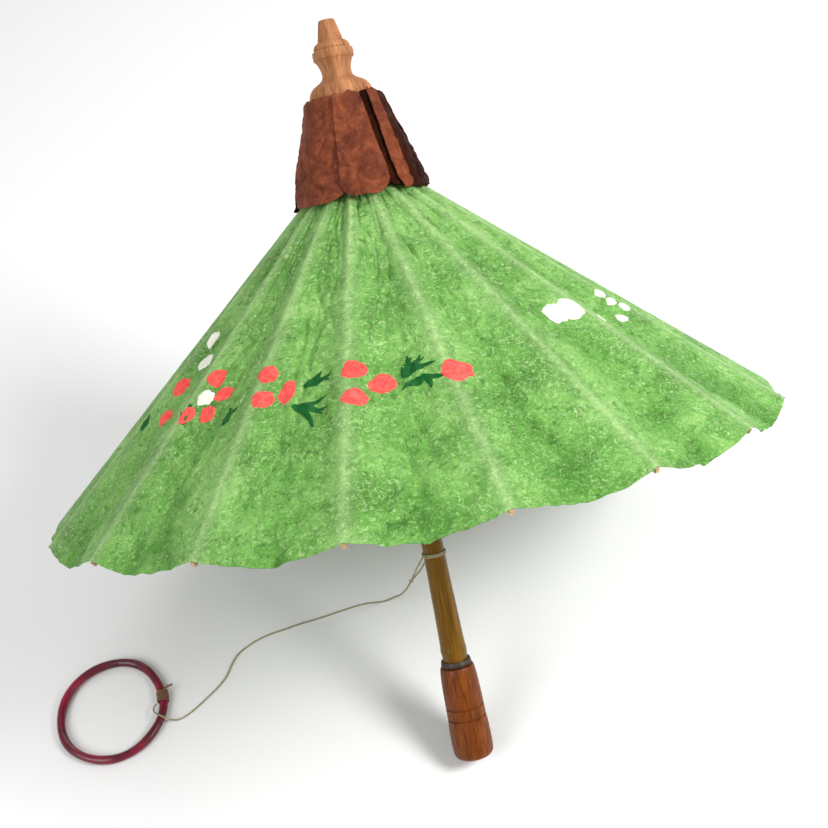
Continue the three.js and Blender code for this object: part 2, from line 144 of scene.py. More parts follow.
def make_studio():
    bpy.ops.mesh.primitive_plane_add(size=FLOOR_SIZE)
    floor = bpy.context.object
    floor.name = "floor"
    floor.data.materials.append(plain("floor_white", FLOOR_COLOUR, 0.9))
    sky = bpy.data.worlds.new("studio")
    sky.use_nodes = True
    background = sky.node_tree.nodes["Background"]
    background.inputs["Color"].default_value = (1, 1, 1, 1)
    background.inputs["Strength"].default_value = SKY_STRENGTH
    bpy.context.scene.world = sky
    for name, (place, size, power) in LAMPS.items():
        area_light(name, place, size, power)
    bpy.context.scene.view_settings.view_transform = "Standard"


# ------------------------------------------------------------------ materials

# Lengths in materials are in metres, and scales are of noise on coordinates in metres.
# Oiled green paper: its clouds from dark to light, and the colours laid over them.
GREEN_CLOUDS = [
    (0.30, (0.078, 0.24, 0.027)), (0.48, (0.145, 0.38, 0.063)),
    (0.60, (0.225, 0.49, 0.108)), (0.75, (0.34, 0.60, 0.18)),
]
PALE_FIBRE = (0.54, 0.74, 0.34)
DARK_FIBRE = (0.050, 0.18, 0.018)
# Painted shade: the colour the paper is darkened to along thin long creases.
CREASE_SHADE = (0.055, 0.20, 0.025)
# The colour of the painted highlight along each rib's ridge.
RIB_RIDGE_HIGHLIGHT = (0.50, 0.68, 0.32)
# How strongly the painted highlight along each rib's ridge shows as pale lines, by distance from the middle
# of the rib.
RIB_HIGHLIGHT_STRENGTH = [(0.0, 0.38), (0.0013, 0.30), (0.0017, 0.95), (0.0027, 0.95), (0.0031, 0.30), (0.0060, 0.0)]
# Painted shade: what the paper's colour is multiplied by, by distance from the middle of the rib. It is
# darker beside the rib's pale lines, and most in the valleys between ribs.
PAINTED_SHADE_FROM_RIB = [
    (0.0028, (1, 1, 1)), (0.0036, (0.72, 0.82, 0.68)), (0.0050, (0.80, 0.88, 0.76)),
    (0.009, (1, 1, 1)), (0.018, (0.90, 0.95, 0.87)), (0.040, (0.64, 0.78, 0.56)),
]
BROWN_BLOTCHES = [(0.3, (0.075, 0.010, 0.003)), (0.55, (0.20, 0.042, 0.012)), (0.75, (0.34, 0.090, 0.030))]
PALE_CRACK = (0.46, 0.17, 0.075)
LACQUER = [(0.32, (0.030, 0.001, 0.004)), (0.5, (0.15, 0.003, 0.018)), (0.68, (0.34, 0.004, 0.040))]
# How light the green paper's underside and the cap's inner flaps are, against the upper side and the others.
# Both are darker copies of a material: painted shade.
SHADED_UNDERSIDE = 0.45
SHADED_FLAP = 0.16


def shader(name, roughness, coat=0.0):
    material = bpy.data.materials.new(name)
    material.use_nodes = True
    principled = material.node_tree.nodes["Principled BSDF"]
    principled.inputs["Roughness"].default_value = roughness
    principled.inputs["Coat Weight"].default_value = coat
    return material, material.node_tree, principled


def node(tree, kind, **settings):
    made = tree.nodes.new(kind)
    for key, value in settings.items():
        if key in made.inputs:
            made.inputs[key].default_value = value
        else:
            setattr(made, key, value)
    return made


def ramp(tree, source, stops):
    """A colour for each value of source. Stops are (place, colour), in order."""
    made = tree.nodes.new("ShaderNodeValToRGB")
    elements = made.color_ramp.elements
    elements[1].position = stops[-1][0]
    elements[1].color = (*stops[-1][1], 1)
    elements[0].position = stops[0][0]
    elements[0].color = (*stops[0][1], 1)
    for place, colour in stops[1:-1]:
        elements.new(place).color = (*colour, 1)
    tree.links.new(source, made.inputs["Fac"])
    return made.outputs["Color"]


def mask(tree, source, stops):
    """A factor for each value of source. Stops are (place, factor), in order."""
    return ramp(tree, source, [(place, (factor, factor, factor)) for place, factor in stops])


def mix(tree, factor, a, b, blend="MIX"):
    made = tree.nodes.new("ShaderNodeMix")
    made.data_type = "RGBA"
    made.blend_type = blend
    for socket, value in ((made.inputs[0], factor), (made.inputs[6], a), (made.inputs[7], b)):
        if isinstance(value, bpy.types.NodeSocket):
            tree.links.new(value, socket)
        else:
            socket.default_value = value if isinstance(value, float) else (*value, 1)
    return made.outputs[2]


def coordinates(tree, kind="Object", scale=(1, 1, 1)):
    """Texture coordinates from the object or its UV map, stretched by scale."""
    source = tree.nodes.new("ShaderNodeTexCoord")
    mapping = tree.nodes.new("ShaderNodeMapping")
    mapping.inputs["Scale"].default_value = scale
    tree.links.new(source.outputs[kind], mapping.inputs["Vector"])
    return mapping.outputs["Vector"]


def texture(tree, vector, scale, detail=3.0, roughness=0.6, distortion=0.0):
    made = node(tree, "ShaderNodeTexNoise", Scale=scale, Detail=detail, Roughness=roughness,
                Distortion=distortion)
    tree.links.new(vector, made.inputs["Vector"])
    return made.outputs["Fac"]


def bump(tree, principled, height, distance):
    made = node(tree, "ShaderNodeBump", Strength=1.0, Distance=distance)
    tree.links.new(height, made.inputs["Height"])
    tree.links.new(made.outputs["Normal"], principled.inputs["Normal"])


def colour_with(tree, principled, colour):
    tree.links.new(colour, principled.inputs["Base Color"])


def plain(name, colour, roughness):
    material, tree, principled = shader(name, roughness)
    principled.inputs["Base Color"].default_value = (*colour, 1)
    return material


def grained(name, dark, light, roughness, coat, stretch, scale, depth):
    """Wood or bamboo: streaks along the UV map's V, which runs along the piece in metres.

    Stretch is the streaks' width as a share of their length, and depth is that of their relief."""
    material, tree, principled = shader(name, roughness, coat)
    principled.inputs["Specular IOR Level"].default_value = 0.14
    fine = texture(tree, coordinates(tree, "UV", (1, stretch, 1)), scale, 5.0, 0.65, 0.3)
    broad = texture(tree, coordinates(tree, "UV", (1, stretch * 2, 1)), scale / 7, 3.0)
    colour = ramp(tree, fine, [(0.3, dark), (0.7, light)])
    shade = ramp(tree, broad, [(0.3, (0.62, 0.58, 0.55)), (0.7, (1.15, 1.15, 1.15))])
    colour_with(tree, principled, mix(tree, 1.0, colour, shade, "MULTIPLY"))
    bump(tree, principled, fine, depth)
    return material


def object_grained(name, dark, light, roughness, scale):
    """Split bamboo or cut wood on the frame's own pieces, which have no UV map."""
    material, tree, principled = shader(name, roughness)
    fine = texture(tree, coordinates(tree), scale, 4.0)
    colour_with(tree, principled, ramp(tree, fine, [(0.3, dark), (0.7, light)]))
    bump(tree, principled, fine, 0.0003)
    return material


def spotted(name, dark, light, roughness, scale, metallic=0.0):
    """A smooth finish with spots of two colours."""
    material, tree, principled = shader(name, roughness)
    principled.inputs["Metallic"].default_value = metallic
    spots = texture(tree, coordinates(tree), scale)
    colour_with(tree, principled, ramp(tree, spots, [(0.3, dark), (0.7, light)]))
    return material


def ridged(tree, vector, scale, detail, roughness):
    """Thin bright lines like the crests of creases."""
    made = node(tree, "ShaderNodeTexNoise", Scale=scale, Detail=detail, Roughness=roughness)
    made.noise_type = "RIDGED_MULTIFRACTAL"
    tree.links.new(vector, made.inputs["Vector"])
    return made.outputs["Fac"]


def scaled(colour, factor):
    return tuple(c * factor for c in colour)


def scaled_stops(stops, factor):
    return [(place, scaled(colour, factor)) for place, colour in stops]


def distance_from_rib(tree):
    """Metres across from the middle of the rib, from the U of the paper's UV map."""
    across = node(tree, "ShaderNodeSeparateXYZ")
    tree.links.new(coordinates(tree, "UV"), across.inputs[0])
    side = node(tree, "ShaderNodeMath", operation="ABSOLUTE")
    tree.links.new(across.outputs["X"], side.inputs[0])
    return side.outputs[0]


def paper_material(name, light):
    """Oiled mulberry paper: cloudy green with fibres and long creases. Painted shade darkens the creases, a
    band beside each rib and the valleys, and a painted highlight makes pale lines along each rib's ridge.
    """
    material, tree, principled = shader(name, 0.48)
    principled.inputs["Specular IOR Level"].default_value = 0.3
    place = coordinates(tree)
    from_rib = distance_from_rib(tree)
    colour = ramp(tree, texture(tree, place, 24, 4.0, 0.62, 0.5), scaled_stops(GREEN_CLOUDS, light))
    pale = mask(tree, texture(tree, place, 230, 4.0, 0.7, 2.6), [(0.51, 0.0), (0.58, 0.40), (0.68, 0.8)])
    colour = mix(tree, pale, colour, scaled(PALE_FIBRE, light))
    dark = mask(tree, texture(tree, place, 150, 5.0, 0.75, 1.4), [(0.36, 0.75), (0.46, 0.0)])
    colour = mix(tree, dark, colour, scaled(DARK_FIBRE, light))
    creases = ridged(tree, coordinates(tree, "UV", (1, 0.09, 1)), 62, 3.0, 0.5)
    # Painted shade along the creases.
    colour = mix(tree, mask(tree, creases, [(0.46, 0.0), (0.72, 0.72)]), colour, scaled(CREASE_SHADE, light))
    # Painted highlight: pale lines along the rib's ridge.
    colour = mix(tree, mask(tree, from_rib, RIB_HIGHLIGHT_STRENGTH), colour, scaled(RIB_RIDGE_HIGHLIGHT, light))
    # Painted shade beside the rib and in the valleys.
    shade = ramp(tree, from_rib, PAINTED_SHADE_FROM_RIB)
    colour_with(tree, principled, mix(tree, 1.0, colour, shade, "MULTIPLY"))
    crackle = mix(tree, 0.5, ridged(tree, place, 70, 6.0, 0.6), texture(tree, place, 240, 5.0, 0.7, 1.0))
    bump(tree, principled, crackle, 0.0045)
    return material


def brown_paper_material(name, light):
    """Crumpled paper, blotchy brown, with pale cracks in its surface."""
    material, tree, principled = shader(name, 0.5)
    principled.inputs["Specular IOR Level"].default_value = 0.2 * light
    place = coordinates(tree)
    blotches = texture(tree, place, 60, 5.0, 0.7, 0.8)
    cracks = texture(tree, place, 260, 6.0, 0.8, 1.5)
    ground = ramp(tree, blotches, scaled_stops(BROWN_BLOTCHES, light))
    pale = mask(tree, cracks, [(0.5, 0.0), (0.75, 0.4)])
    colour_with(tree, principled, mix(tree, pale, ground, scaled(PALE_CRACK, light)))
    crumple = mix(tree, 0.35, ridged(tree, place, 95, 6.0, 0.6), cracks)
    bump(tree, principled, crumple, 0.0032)
    return material


def paint_material(name, base, edge):
    """Thick paint with brush streaks."""
    material, tree, principled = shader(name, 0.5)
    principled.inputs["Specular IOR Level"].default_value = 0.15
    streaks = texture(tree, coordinates(tree, scale=(1, 1, 0.25)), 300, 4.0, 0.7, 0.6)
    colour_with(tree, principled, ramp(tree, streaks, [(0.35, edge), (0.6, base)]))
    bump(tree, principled, streaks, 0.0004)
    return material


def lacquer_material():
    """Dark red lacquer on cane, brighter in patches. The bevel rounds the facets of the ring's mesh."""
    material, tree, principled = shader("crimson_lacquer", 0.30, 0.25)
    principled.inputs["Specular IOR Level"].default_value = 0.4
    patches = texture(tree, coordinates(tree), 30, 4.0, 0.7)
    colour_with(tree, principled, ramp(tree, patches, LACQUER))
    rounded = node(tree, "ShaderNodeBevel", Radius=0.0018)
    rounded.samples = 6
    uneven = node(tree, "ShaderNodeBump", Strength=0.6, Distance=0.0010)
    tree.links.new(patches, uneven.inputs["Height"])
    tree.links.new(rounded.outputs["Normal"], uneven.inputs["Normal"])
    tree.links.new(uneven.outputs["Normal"], principled.inputs["Normal"])
    return material


def twine_material(name, dark, light):
    material, tree, principled = shader(name, 0.85)
    strands = texture(tree, coordinates(tree), 900, 3.0, 0.7)
    colour_with(tree, principled, ramp(tree, strands, [(0.3, dark), (0.7, light)]))
    bump(tree, principled, strands, 0.0002)
    return material


# ------------------------------------------------------------------ meshes


# Edges that turn more than this are left sharp.
SHARP_ANGLE = math.radians(55)
TURNED_SIDES = 64
# How much of the grain's pattern goes halfway round a turned piece and back, in metres.
GRAIN_ROUND = 0.09


def new_piece(name, points, faces, materials, body, uvs=None, face_materials=None):
    """A smooth-shaded mesh that moves with a body of the frame."""
    mesh = bpy.data.meshes.new(name)
    mesh.from_pydata([tuple(p) for p in points], [], faces)
    if uvs is not None:
        layer = mesh.uv_layers.new(name="UVMap")
        for loop in mesh.loops:
            layer.data[loop.index].uv = uvs[loop.vertex_index]
    for material in materials:
        mesh.materials.append(material)
    for polygon in mesh.polygons:
        polygon.use_smooth = True
    if face_materials:
        for polygon, index in zip(mesh.polygons, face_materials):
            polygon.material_index = index
    mesh.set_sharp_from_angle(angle=SHARP_ANGLE)
    piece = bpy.data.objects.new(name, mesh)
    bpy.context.scene.collection.objects.link(piece)
    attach(piece, body)
    return piece


def curve_point(a, b, c, d, t):
    """The point at a share t of the way from b to c on a Catmull-Rom curve through a, b, c and d."""
    return 0.5 * (
        2 * b + (c - a) * t + (2 * a - 5 * b + 4 * c - d) * t * t + (3 * b - a - 3 * c + d) * t ** 3
    )


def curve_spans(points):
    """Each pair of neighbouring points, with the points before and after it."""
    last = len(points) - 1
    for i in range(last):
        yield points[max(i - 1, 0)], points[i], points[i + 1], points[min(i + 2, last)]


def smooth_profile(profile, steps=4):
    """A turned profile with extra points, so that its curves are round."""
    points = []
    for span in curve_spans(profile):
        for k in range(steps):
            points.append(tuple(curve_point(*values, k / steps) for values in zip(*span)))
    points.append(profile[-1])
    return [(max(radius, 0.0), height) for radius, height in points]


def turned_piece(name, profile, material):
    """A turned piece of the shaft. The profile goes up the outside, and each end is closed with one face."""
    points = []
    uvs = []
    for radius, height in profile:
        for k in range(TURNED_SIDES):
            points.append(around(radius, 2 * math.pi * k / TURNED_SIDES, height))
            turn = min(k, TURNED_SIDES - k) / TURNED_SIDES
            uvs.append((turn * GRAIN_ROUND, height * MM))
    faces = [tuple(range(TURNED_SIDES))[::-1]]
    for j in range(len(profile) - 1):
        low = j * TURNED_SIDES
        high = low + TURNED_SIDES
        for k in range(TURNED_SIDES):
            n = (k + 1) % TURNED_SIDES
            faces.append((low + k, low + n, high + n, high + k))
    last = (len(profile) - 1) * TURNED_SIDES
    faces.append(tuple(last + k for k in range(TURNED_SIDES)))
    return new_piece(name, points, faces, [material], "shaft", uvs)


def shell_faces(across, down):
    """The faces of a thin closed sheet, and how many of them are not the walls round its edge.

    Its points are two grids, the outer side's first, each of down + 1 rows of across + 1 points."""
    columns = across + 1
    layer = columns * (down + 1)
    faces = []
    for j in range(down):
        for i in range(across):
            a = j * columns + i
            faces.append((a, a + columns, a + columns + 1, a + 1))
            faces.append((a + layer, a + layer + 1, a + layer + columns + 1, a + layer + columns))
    sides = len(faces)
    edge = [j * columns for j in range(down + 1)]
    edge += [down * columns + i for i in range(1, columns)]
    edge += [j * columns + across for j in range(down - 1, -1, -1)]
    edge += list(range(across - 1, 0, -1))
    for a, b in zip(edge, edge[1:] + edge[:1]):
        faces.append((a, a + layer, b + layer, b))
    return faces, sides


def tube(points, radius, sides, closed=False):
    """Vertices and faces of a round tube through points, with a frame carried along it."""
    vertices = []
    faces = []
    count = len(points)
    normal = None
    for i, point in enumerate(points):
        before = points[(i - 1) % count] if closed or i > 0 else point
        after = points[(i + 1) % count] if closed or i < count - 1 else point
        tangent = (after - before).normalized()
        if normal is None:
            normal = tangent.orthogonal().normalized()
        normal = (normal - tangent * normal.dot(tangent)).normalized()
        binormal = tangent.cross(normal)
        for k in range(sides):
            angle = 2 * math.pi * k / sides
            vertices.append(point + (normal * math.cos(angle) + binormal * math.sin(angle)) * radius)
    for i in range(count if closed else count - 1):
        here = i * sides
        ahead = ((i + 1) % count) * sides
        for k in range(sides):
            n = (k + 1) % sides
            faces.append((here + k, here + n, ahead + n, ahead + k))
    if not closed:
        faces.append(tuple(range(sides))[::-1])
        faces.append(tuple((count - 1) * sides + k for k in range(sides)))
    return vertices, faces


def joined(parts):
    """One list of vertices and one of faces from several of each."""
    vertices = []
    faces = []
    for part_vertices, part_faces in parts:
        start = len(vertices)
        vertices.extend(part_vertices)
        faces.extend(tuple(start + i for i in face) for face in part_faces)
    return vertices, faces


def smooth_path(points, spacing):
    """Evenly spaced points on a Catmull-Rom curve through the points, and the curve's length."""
    steps = 24
    fine = [curve_point(*span, k / steps) for span in curve_spans(points) for k in range(steps)]
    fine.append(points[-1])
    even = [fine[0]]
    gone = 0.0
    for a, b in zip(fine, fine[1:]):
        step = (b - a).length
        while gone + step >= spacing * len(even):
            even.append(a.lerp(b, (spacing * len(even) - gone) / step))
        gone += step
    return even, gone


def twine(path, ply_radius, twist):
    """Two plies twisted round the path: vertices and faces. Twist is the length of one full turn."""
    plies = [[], []]
    normal = None
    gone = 0.0
    for i, point in enumerate(path):
        tangent = (path[min(i + 1, len(path) - 1)] - path[max(i - 1, 0)]).normalized()
        if normal is None:
            normal = tangent.orthogonal().normalized()
        normal = (normal - tangent * normal.dot(tangent)).normalized()
        binormal = tangent.cross(normal)
        if i:
            gone += (point - path[i - 1]).length
        for side, ply in enumerate(plies):
            angle = 2 * math.pi * gone / twist + side * math.pi
            ply.append(point + (normal * math.cos(angle) + binormal * math.sin(angle)) * ply_radius * 0.8)
    return joined([tube(ply, ply_radius, 6) for ply in plies])


# ------------------------------------------------------------------ paper canopy

# Millimetres, as is every length from here on.
PAPER_INNER = 10
PAPER_THICKNESS = 0.4
FLOOR_GAP = 0.2
ACROSS_STEPS = 36
ALONG_STEPS = 112
# How far the paper sinks between its ribs, at the head and what is added up to the rim.
SINK_AT_HEAD = 0.6
SINK_TO_RIM = 6.6
# The sink's share that is taken away at the rim, from this share of the way down.
HEM_TAUT = 0.35
HEM_TAUT_FROM = 0.75
# How deep the creases are: down the middle of each valley, and long and short ones over the loose paper.
VALLEY_CREASE = 1.8
LONG_CREASE = 2.4
SHORT_CREASE = 1.3
# The paper's hem, past the rim: at the ribs, and what is added between them.
HEM_AT_RIB = 2.7
HEM_BETWEEN = 4.0
# How far each rib's paper is moved along its UV map, so that no two have the same streaks.
UV_STEP = 3700
# Each rib's rows of (point, direction outwards, distance down the rib), filled by make_canopy.
PAPER_GRIDS = {}


def rib_angle(index):
    return math.pi / 2 + PITCH * (index + 0.5)


def wave(*values):
    return noise.noise(Vector(values))


def wave_round(angle, turns, height, seed=0.0):
    """Noise that closes on itself round the shaft. Turns is how fine it is."""
    return noise.noise(Vector((math.cos(angle) * turns + seed, math.sin(angle) * turns, height)))


def ridge(value, width):
    """1 where value is 0, falling to 0 on both sides: a thin line along the zeros of a noise."""
    return max(0.0, 1 - abs(value) / width)


def outward(angle):
    """The direction out of the paper at an angle round the shaft."""
    radial = ACROSS * math.cos(angle) + DOWN * math.sin(angle)
    return radial * math.cos(OPEN) + AXIS * math.sin(OPEN)


def paper_point(angle, distance):
    """A point of the paper's underside. It lies on the ribs, sinks between them, and is creased all over."""
    turn = (angle - rib_angle(0)) / PITCH
    panel = math.floor(turn) % RIBS
    place = turn - math.floor(turn)
    along = max(distance, 0) / RIM_ALONG_RIB
    # The valley wanders off the middle, so the way across is bent to put it at a half.
    valley = 0.5 + 0.13 * wave(panel * 5.1, distance / 120, 2.0)
    bent = 0.5 * place / valley if place < valley else 1 - 0.5 * (1 - place) / (1 - valley)
    free = math.sin(math.pi * bent) ** 1.4
    taut = 1 - HEM_TAUT * max(along - HEM_TAUT_FROM, 0) / (1 - HEM_TAUT_FROM)
    slack = (1 + 0.5 * wave(panel * 3.7, distance / 150, 0.5)) * taut
    sink = (SINK_AT_HEAD + SINK_TO_RIM * along * slack) * free
    crease_depth = 0.6 + wave(panel * 2.3, distance / 40, 6.0)
    sink += VALLEY_CREASE * (0.25 + along) * ridge(bent - 0.5, 0.06) * crease_depth
    loose = min(free * 1.6, 1.0)
    long_crease = ridge(wave_round(angle, 8.0, distance / 95), 0.15)
    long_depth = min(max(0.45 + 1.3 * wave_round(angle, 3.0, distance / 50, 9.0), 0.0), 1.0)
    short_crease = ridge(wave_round(angle, 13.0, distance / 34, 4.0), 0.2)
    x = math.cos(angle) * distance
    y = math.sin(angle) * distance
    crinkle = 1.5 * wave(x / 27, y / 27, 3.1) + 1.2 * wave(x / 10, y / 10, 9.4)
    crinkle -= 0.9 * ridge(wave(x / 17, y / 17, 5.5), 0.16)
    creases = LONG_CREASE * long_crease * long_depth + SHORT_CREASE * short_crease
    rise = loose * (crinkle * (0.35 + 0.65 * along) - creases)
    rise += 0.22 * wave(x / 6, y / 6, 1.7)
    height = LINE_TO_PAPER - sink + min(rise, sink + 0.4)
    radius = HINGE_RADIUS + distance * math.sin(OPEN) + height * math.cos(OPEN)
    return around(radius, angle, HINGE_HEIGHT - distance * math.cos(OPEN) + height * math.sin(OPEN))


def hem_distance(angle):
    """How far down the ribs the paper reaches: almost to their ends, and further between them."""
    between = math.sin(math.pi * (((angle - rib_angle(0)) / PITCH) % 1))
    cut = 1.1 * wave_round(angle, 9.0, 0.3, 8.0) + 0.6 * wave_round(angle, 30.0, 2.3, 1.0)
    return RIM_ALONG_RIB + HEM_AT_RIB + HEM_BETWEEN * between ** 0.8 + cut * between ** 0.3


def off_floor(point, outwards):
    """The paper gives way where it meets the floor."""
    lowest = (FLOOR_GAP + PAPER_THICKNESS - outwards) * MM
    return Vector((point.x, point.y, max(point.z, lowest)))


def paper_grid(rib):
    """A rib's rows for PAPER_GRIDS, on the underside, with one column more on each side for the normals."""
    middle = rib_angle(rib)
    rows = []
    for j in range(ALONG_STEPS + 1):
        row = []
        for i in range(-1, ACROSS_STEPS + 2):
            angle = middle + (i / ACROSS_STEPS - 0.5) * PITCH
            distance = PAPER_INNER + (hem_distance(angle) - PAPER_INNER) * j / ALONG_STEPS
            row.append((paper_point(angle, distance), outward(angle), distance))
        rows.append(row)
    return rows


def on_paper(angle, distance, lift):
    """The point of the finished paper mesh at an angle and distance, raised by lift millimetres."""
    turn = (angle - rib_angle(0)) / PITCH
    rib = round(turn)
    rows = PAPER_GRIDS[rib % RIBS]
    across = (turn - rib + 0.5) * ACROSS_STEPS + 1
    down = (distance - PAPER_INNER) / (hem_distance(angle) - PAPER_INNER) * ALONG_STEPS
    i = min(int(across), ACROSS_STEPS + 1)
    j = min(int(down), ALONG_STEPS - 1)
    near = rows[j][i][0].lerp(rows[j][i + 1][0], across - i)
    far = rows[j + 1][i][0].lerp(rows[j + 1][i + 1][0], across - i)
    return near.lerp(far, down - j) + outward(angle) * (PAPER_THICKNESS + lift) * MM


# ------------------------------------------------------------------ paint on the paper

# Painted petals: (degrees round from the upward side, millimetres down the rib, width, length).
CORAL = [
    (-75, 187, 9, 13), (-64.5, 170, 12, 15), (-62, 192, 11, 12), (-48.5, 194, 11, 13), (-46.5, 165, 14, 13),
    (-43.5, 191, 13, 13), (-42.5, 176, 14, 11), (-29, 170, 13, 13), (-28, 188, 14, 13), (-23.5, 182, 11, 16),
    (-8.3, 177.5, 15, 14), (-8.5, 197.5, 14, 13), (-3.3, 189, 16, 15), (11.2, 194, 18, 18),
]
WHITE = [
    (-79, 180.5, 11, 12), (-65.5, 133.5, 8, 13), (-61.5, 150, 12, 13), (-46.3, 180.5, 12, 12),
    (43.5, 166, 15, 17), (47.5, 168, 15, 18), (53.7, 182, 5, 7), (63.5, 186, 9, 8), (67.5, 165, 9, 8),
    (67, 174, 9, 8), (68.5, 182.5, 8, 8),
]
# Leaves, each of several strokes from one point: (degrees, millimetres down the rib, heading in degrees,
# number of strokes, degrees between them, length of the first, length of the last).
LEAVES = [
    (1.1, 186, 47, 5, 12.5, 19, 14), (5.2, 190, 196, 2, 22, 14, 11), (4.6, 188, -52, 2, 20, 12, 14),
    (-20, 179, 22, 4, 11, 18, 11), (-21.2, 194, -21, 4, 12, 23, 20), (-48, 200, 112, 3, 16, 15, 13),
    (-37, 200.5, 80, 3, 13, 13, 12), (-68, 205, 100, 2, 16, 12, 10),
]
STROKE_WIDTH = 3.8
# How high paint stands, and how much of that again its underside lies in the paper.
PAINT = 0.32
PAINT_SUNK = 0.3
PETAL_RINGS = 6
PETAL_SIDES = 28
STROKE_STEPS = 14


def polar(degrees):
    """Degrees round from the side that faces up, positive towards +X, as an angle round the shaft."""
    return math.radians(degrees - 90)


def beside(angle, distance, across, down, lift):
    """The point of the paper that is so many millimetres across and down from a place on it."""
    radius = HINGE_RADIUS + distance * math.sin(OPEN)
    return on_paper(angle + across / radius, distance + down, lift)


def petal(degrees, distance, width, length, seed):
    """A painted petal: an uneven round patch of thick paint that follows the paper."""
    angle = polar(degrees)
    points = [on_paper(angle, distance, PAINT)]
    for ring in range(1, PETAL_RINGS + 1):
        share = ring / PETAL_RINGS
        lift = PAINT if ring < PETAL_RINGS else -PAINT_SUNK * PAINT
        for k in range(PETAL_SIDES):
            turn = 2 * math.pi * k / PETAL_SIDES
            rough = 1 + share * (0.30 * wave(math.cos(turn) * 0.9, math.sin(turn) * 0.9, seed)
                                 + 0.16 * wave(math.cos(turn) * 3.6, math.sin(turn) * 3.6, seed))
            across = math.cos(turn) * width / 2 * share * rough
            down = math.sin(turn) * length / 2 * share * rough
            points.append(beside(angle, distance, across, down, lift))
    rim = 1 + (PETAL_RINGS - 1) * PETAL_SIDES
    under = len(points)
    points.append(on_paper(angle, distance, -PAINT_SUNK * PAINT))
    faces = []
    for k in range(PETAL_SIDES):
        n = (k + 1) % PETAL_SIDES
        faces.append((0, 1 + n, 1 + k))
        faces.append((under, rim + k, rim + n))
        for ring in range(PETAL_RINGS - 1):
            first = 1 + ring * PETAL_SIDES
            faces.append((first + k, first + n, first + PETAL_SIDES + n, first + PETAL_SIDES + k))
    return points, faces


def brush_stroke(degrees, distance, heading, length, seed):
    """A tapering leaf stroke that starts at a point, in a heading measured on the paper."""
    angle = polar(degrees)
    points = []
    for j in range(STROKE_STEPS + 1):
        share = j / STROKE_STEPS
        bend = math.radians(heading + 26 * (share - 0.5) * (1 if seed % 2 else -1))
        half = STROKE_WIDTH / 2 * math.sin(math.pi * (0.12 + share * 0.85)) ** 0.8
        half *= 1 + 0.4 * wave(share * 6, seed, 0)
        for side, lift in ((-1, PAINT * 0.6), (0, PAINT), (1, PAINT * 0.6), (0, -PAINT_SUNK * PAINT)):
            across = math.cos(bend) * length * share + side * math.sin(bend) * half
            down = -math.sin(bend) * length * share + side * math.cos(bend) * half
            points.append(beside(angle, distance, across, down, lift))
    faces = []
    for j in range(STROKE_STEPS):
        for k in range(4):
            first = j * 4 + k
            following = j * 4 + (k + 1) % 4
            faces.append((first, following, following + 4, first + 4))
    faces.append((3, 2, 1, 0))
    faces.append(tuple(STROKE_STEPS * 4 + k for k in range(4)))
    return points, faces


def nearest_rib(degrees):
    return round((polar(degrees) - rib_angle(0)) / PITCH) % RIBS


def paint_on(rib):
    """The painted patches whose middle lies on this rib's paper, with the material slot of each.

    The slots are 0 for coral, 1 for white and 2 for dark green."""
    patches = []
    for slot, petals in enumerate((CORAL, WHITE)):
        for k, (degrees, distance, width, length) in enumerate(petals):
            if nearest_rib(degrees) == rib:
                patches.append((slot, petal(degrees, distance, width, length, k * 2.7 + slot)))
    for k, (degrees, distance, heading, strokes, spread, first, last) in enumerate(LEAVES):
        if nearest_rib(degrees) == rib:
            for n in range(strokes):
                share = n / (strokes - 1)
                turned = heading + (n - (strokes - 1) / 2) * spread
                length = first + (last - first) * share
                patches.append((2, brush_stroke(degrees, distance, turned, length, k * 5 + n)))
    return patches


def fold_flat(piece):
    """Gives the piece its own copy of its mesh."""
    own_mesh(piece)


def paper_segment(rib, materials):
    """The paper from halfway to one neighbouring rib to halfway to the other, as a thin closed sheet.

    Its UV map holds metres across from the middle of the rib and metres down along it."""
    rows = PAPER_GRIDS[rib]
    points = []
    normals = []
    uvs = []
    for raised in (PAPER_THICKNESS, 0.0):
        for j in range(ALONG_STEPS + 1):
            for i in range(1, ACROSS_STEPS + 2):
                point, out, distance = rows[j][i]
                points.append(off_floor(point + out * raised * MM, raised))
                across = rows[j][i + 1][0] - rows[j][i - 1][0]
                down = rows[min(j + 1, ALONG_STEPS)][i][0] - rows[max(j - 1, 0)][i][0]
                normal = down.cross(across).normalized()
                if normal.dot(out) < 0:
                    normal = -normal
                normals.append(normal if raised else -normal)
                off = ((i - 1) / ACROSS_STEPS - 0.5) * PITCH
                radius = HINGE_RADIUS + distance * math.sin(OPEN)
                uvs.append((off * radius * MM, (distance + rib * UV_STEP) * MM))
    faces, sides = shell_faces(ACROSS_STEPS, ALONG_STEPS)
    # The faces of the two sides take turns, and the walls are as the upper side. The under side has the
    # darker copy of the paper, painted shade.
    face_materials = [k % 2 for k in range(sides)] + [0] * (len(faces) - sides)
    number = f"{rib + 1:02d}"
    piece = new_piece("paper_" + number, points, faces, materials, "rib_" + number, uvs,
                      face_materials)
    mesh = piece.data
    loop_normals = []
    for polygon in mesh.polygons:
        for loop in polygon.loop_indices:
            wall = polygon.index >= sides
            loop_normals.append(polygon.normal if wall else normals[mesh.loops[loop].vertex_index])
    mesh.normals_split_custom_set([tuple(n) for n in loop_normals])
    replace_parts(piece, "canopy")
    fold_flat(piece)


def painted_patches(rib, materials):
    """The petals and leaves painted on a rib's paper, as one piece of thick paint."""
    points = []
    faces = []
    face_materials = []
    for slot, (patch_points, patch_faces) in paint_on(rib):
        start = len(points)
        points.extend(patch_points)
        faces.extend(tuple(start + v for v in face) for face in patch_faces)
        face_materials.extend([slot] * len(patch_faces))
    if not faces:
        return
    number = f"{rib + 1:02d}"
    piece = new_piece("painting_" + number, points, faces, materials, "rib_" + number,
                      face_materials=face_materials)
    fold_flat(piece)


